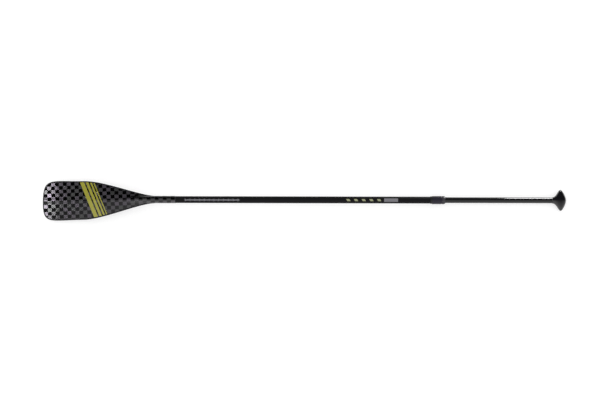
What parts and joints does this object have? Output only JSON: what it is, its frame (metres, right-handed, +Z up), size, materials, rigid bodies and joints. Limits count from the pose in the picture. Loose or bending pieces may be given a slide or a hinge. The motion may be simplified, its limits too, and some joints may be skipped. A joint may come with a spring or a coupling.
{
  "type": "stand-up paddleboard paddle",
  "caption": "Adjustable stand-up paddle: canted carbon blade with a ridge, telescoping shaft held by a twist lock, and a palm grip.",
  "frame": {"origin": "centre of the bounding box's bottom, on the ground that the blade's tip and the palm grip rest on", "axes": "+X from the blade to the grip, +Y across the blade, +Z up out of the power face"},
  "size_m": [2.2012, 0.167, 0.0792],
  "materials": {
    "blade_carbon": "clear-coated checker-weave carbon",
    "back_carbon": "clear-coated checker-weave carbon",
    "core_foam": "closed-cell foam",
    "edge_rail_black": "satin black",
    "lower_shaft_carbon": "satin carbon tube",
    "plug_foam": "closed-cell foam",
    "ferrule_black": "moulded nylon",
    "collet_acetal": "moulded acetal",
    "key_steel": "ground",
    "thrust_ring_acetal": "moulded acetal",
    "nut_black": "satin moulded nylon",
    "cap_black": "satin moulded nylon",
    "wiper_rubber": "soft rubber",
    "upper_shaft_carbon": "gloss carbon tube",
    "plug_black": "moulded nylon",
    "seal_rubber": "soft rubber",
    "stub_black": "moulded nylon",
    "grip_foam": "closed-cell foam",
    "grip_front_black": "gloss black",
    "grip_back_black": "gloss black"
  },
  "bodies": {
    "lower": {"blade_power_skin": "blade_carbon", "blade_back_skin": "back_carbon", "blade_core": "core_foam", "blade_edge_rail": "edge_rail_black", "lower_shaft": "lower_shaft_carbon", "shaft_plug": "plug_foam", "lock_ferrule": "ferrule_black", "split_collet": "collet_acetal", "guide_key": "key_steel"},
    "ring": {"thrust_ring": "thrust_ring_acetal"},
    "nut": {"twist_nut": "nut_black", "nut_cap": "cap_black", "wiper_seal": "wiper_rubber"},
    "upper": {"upper_shaft": "upper_shaft_carbon", "end_plug": "plug_black", "plug_seal": "seal_rubber", "grip_stub": "stub_black", "grip_core": "grip_foam", "grip_front_shell": "grip_front_black", "grip_back_shell": "grip_back_black"}
  },
  "joints": [
    {"name": "length_adjust", "type": "slide", "parent": "lower", "child": "upper", "axis": [0.9996, 0, -0.0268], "range_m": [-0.4, 0]},
    {"name": "ring_travel", "type": "slide", "parent": "lower", "child": "ring", "axis": [0.9996, 0, -0.0268], "range_m": [0, 0.001]},
    {"name": "nut_turn", "type": "hinge", "parent": "ring", "child": "nut", "pos_m": [0.5368, 0, 0.03279], "axis": [0.9996, 0, -0.0268], "range_deg": [0, 120]}
  ],
  "couplings": [
    {"joint": "nut_turn", "follows": "ring_travel", "rad_per_m": 2094}
  ]
}
